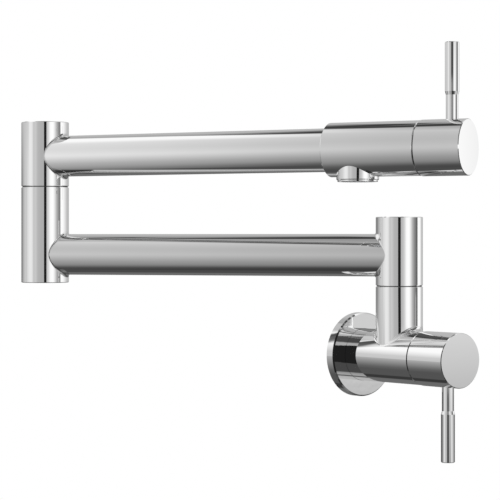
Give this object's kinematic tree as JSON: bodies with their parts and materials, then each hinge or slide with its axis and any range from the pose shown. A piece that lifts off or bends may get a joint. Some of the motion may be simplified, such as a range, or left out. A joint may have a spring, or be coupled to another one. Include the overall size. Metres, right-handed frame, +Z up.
{
  "type": "wall mounted pot filler",
  "caption": "Polished chrome pot filler: wall flange and lever valve, swivelling post, folding tube arms with an elbow, and a lever valve with aerator outlet at the free end.",
  "frame": {"origin": "centre of the inlet thread at the wall plane, Y = 0", "axes": "+Z up, +Y along the inlet into the wall, +X to the right when facing the wall; the object stands out of the wall towards -Y"},
  "size_m": [0.1869, 0.3172, 0.2698],
  "materials": {
    "chrome": "mirror polished chrome plate on brass",
    "brass": "machined",
    "rubber": "moulded, satin",
    "ceramic": "lapped white ceramic",
    "ptfe": "smooth graphite filled low friction plastic",
    "steel": "stainless, drawn",
    "plastic": "moulded white plastic"
  },
  "bodies": {
    "wall_side": {"wall_flange": "chrome", "wall_gasket": "rubber", "flange_oring": "rubber", "valve_body": "chrome", "inlet_strainer": "steel", "post_washer": "ptfe", "lower_cartridge": "brass", "lower_fixed_disc": "ceramic", "lower_base_seal": "rubber", "lower_cartridge_nut": "brass"},
    "lower_arm": {"post_sleeve": "chrome", "post_cap": "chrome", "post_spigot": "brass", "post_orings": "rubber", "post_snap_ring": "steel", "lower_arm_tube": "chrome", "elbow_column": "chrome", "elbow_bush": "brass", "elbow_plug": "chrome", "elbow_washer": "ptfe"},
    "upper_arm": {"elbow_head": "chrome", "elbow_cap": "chrome", "elbow_spigot": "brass", "elbow_orings": "rubber", "elbow_snap_ring": "steel", "upper_arm_tube": "chrome", "outlet_body": "chrome", "water_sleeve": "brass", "outlet_nozzle": "chrome", "aerator_housing": "chrome", "aerator_insert": "plastic", "aerator_seal": "rubber", "upper_cartridge": "brass", "upper_fixed_disc": "ceramic", "upper_base_seal": "rubber", "upper_cartridge_nut": "brass"},
    "lower_handle": {"lower_hub": "chrome", "lower_lever": "chrome", "lower_spindle": "brass", "lower_spindle_oring": "rubber", "lower_moving_disc": "ceramic"},
    "upper_handle": {"upper_hub": "chrome", "upper_lever": "chrome", "upper_spindle": "brass", "upper_spindle_oring": "rubber", "upper_moving_disc": "ceramic"}
  },
  "joints": [
    {"name": "lower_swivel", "type": "hinge", "parent": "wall_side", "child": "lower_arm", "pos_m": [0, -0.0407, 0.0473], "axis": [0, 0, 1], "continuous": true},
    {"name": "upper_swivel", "type": "hinge", "parent": "lower_arm", "child": "upper_arm", "pos_m": [-0.14167, 0.17012, 0.1153], "axis": [0, 0, 1], "continuous": true},
    {"name": "lower_lever_turn", "type": "hinge", "parent": "wall_side", "child": "lower_handle", "pos_m": [0, -0.0653, 0], "axis": [0, -1, 0], "range_deg": [0, 90]},
    {"name": "upper_lever_turn", "type": "hinge", "parent": "upper_arm", "child": "upper_handle", "pos_m": [-0.03261, -0.09448, 0.1366], "axis": [0.3811, -0.9245, 0], "range_deg": [0, 90]}
  ]
}
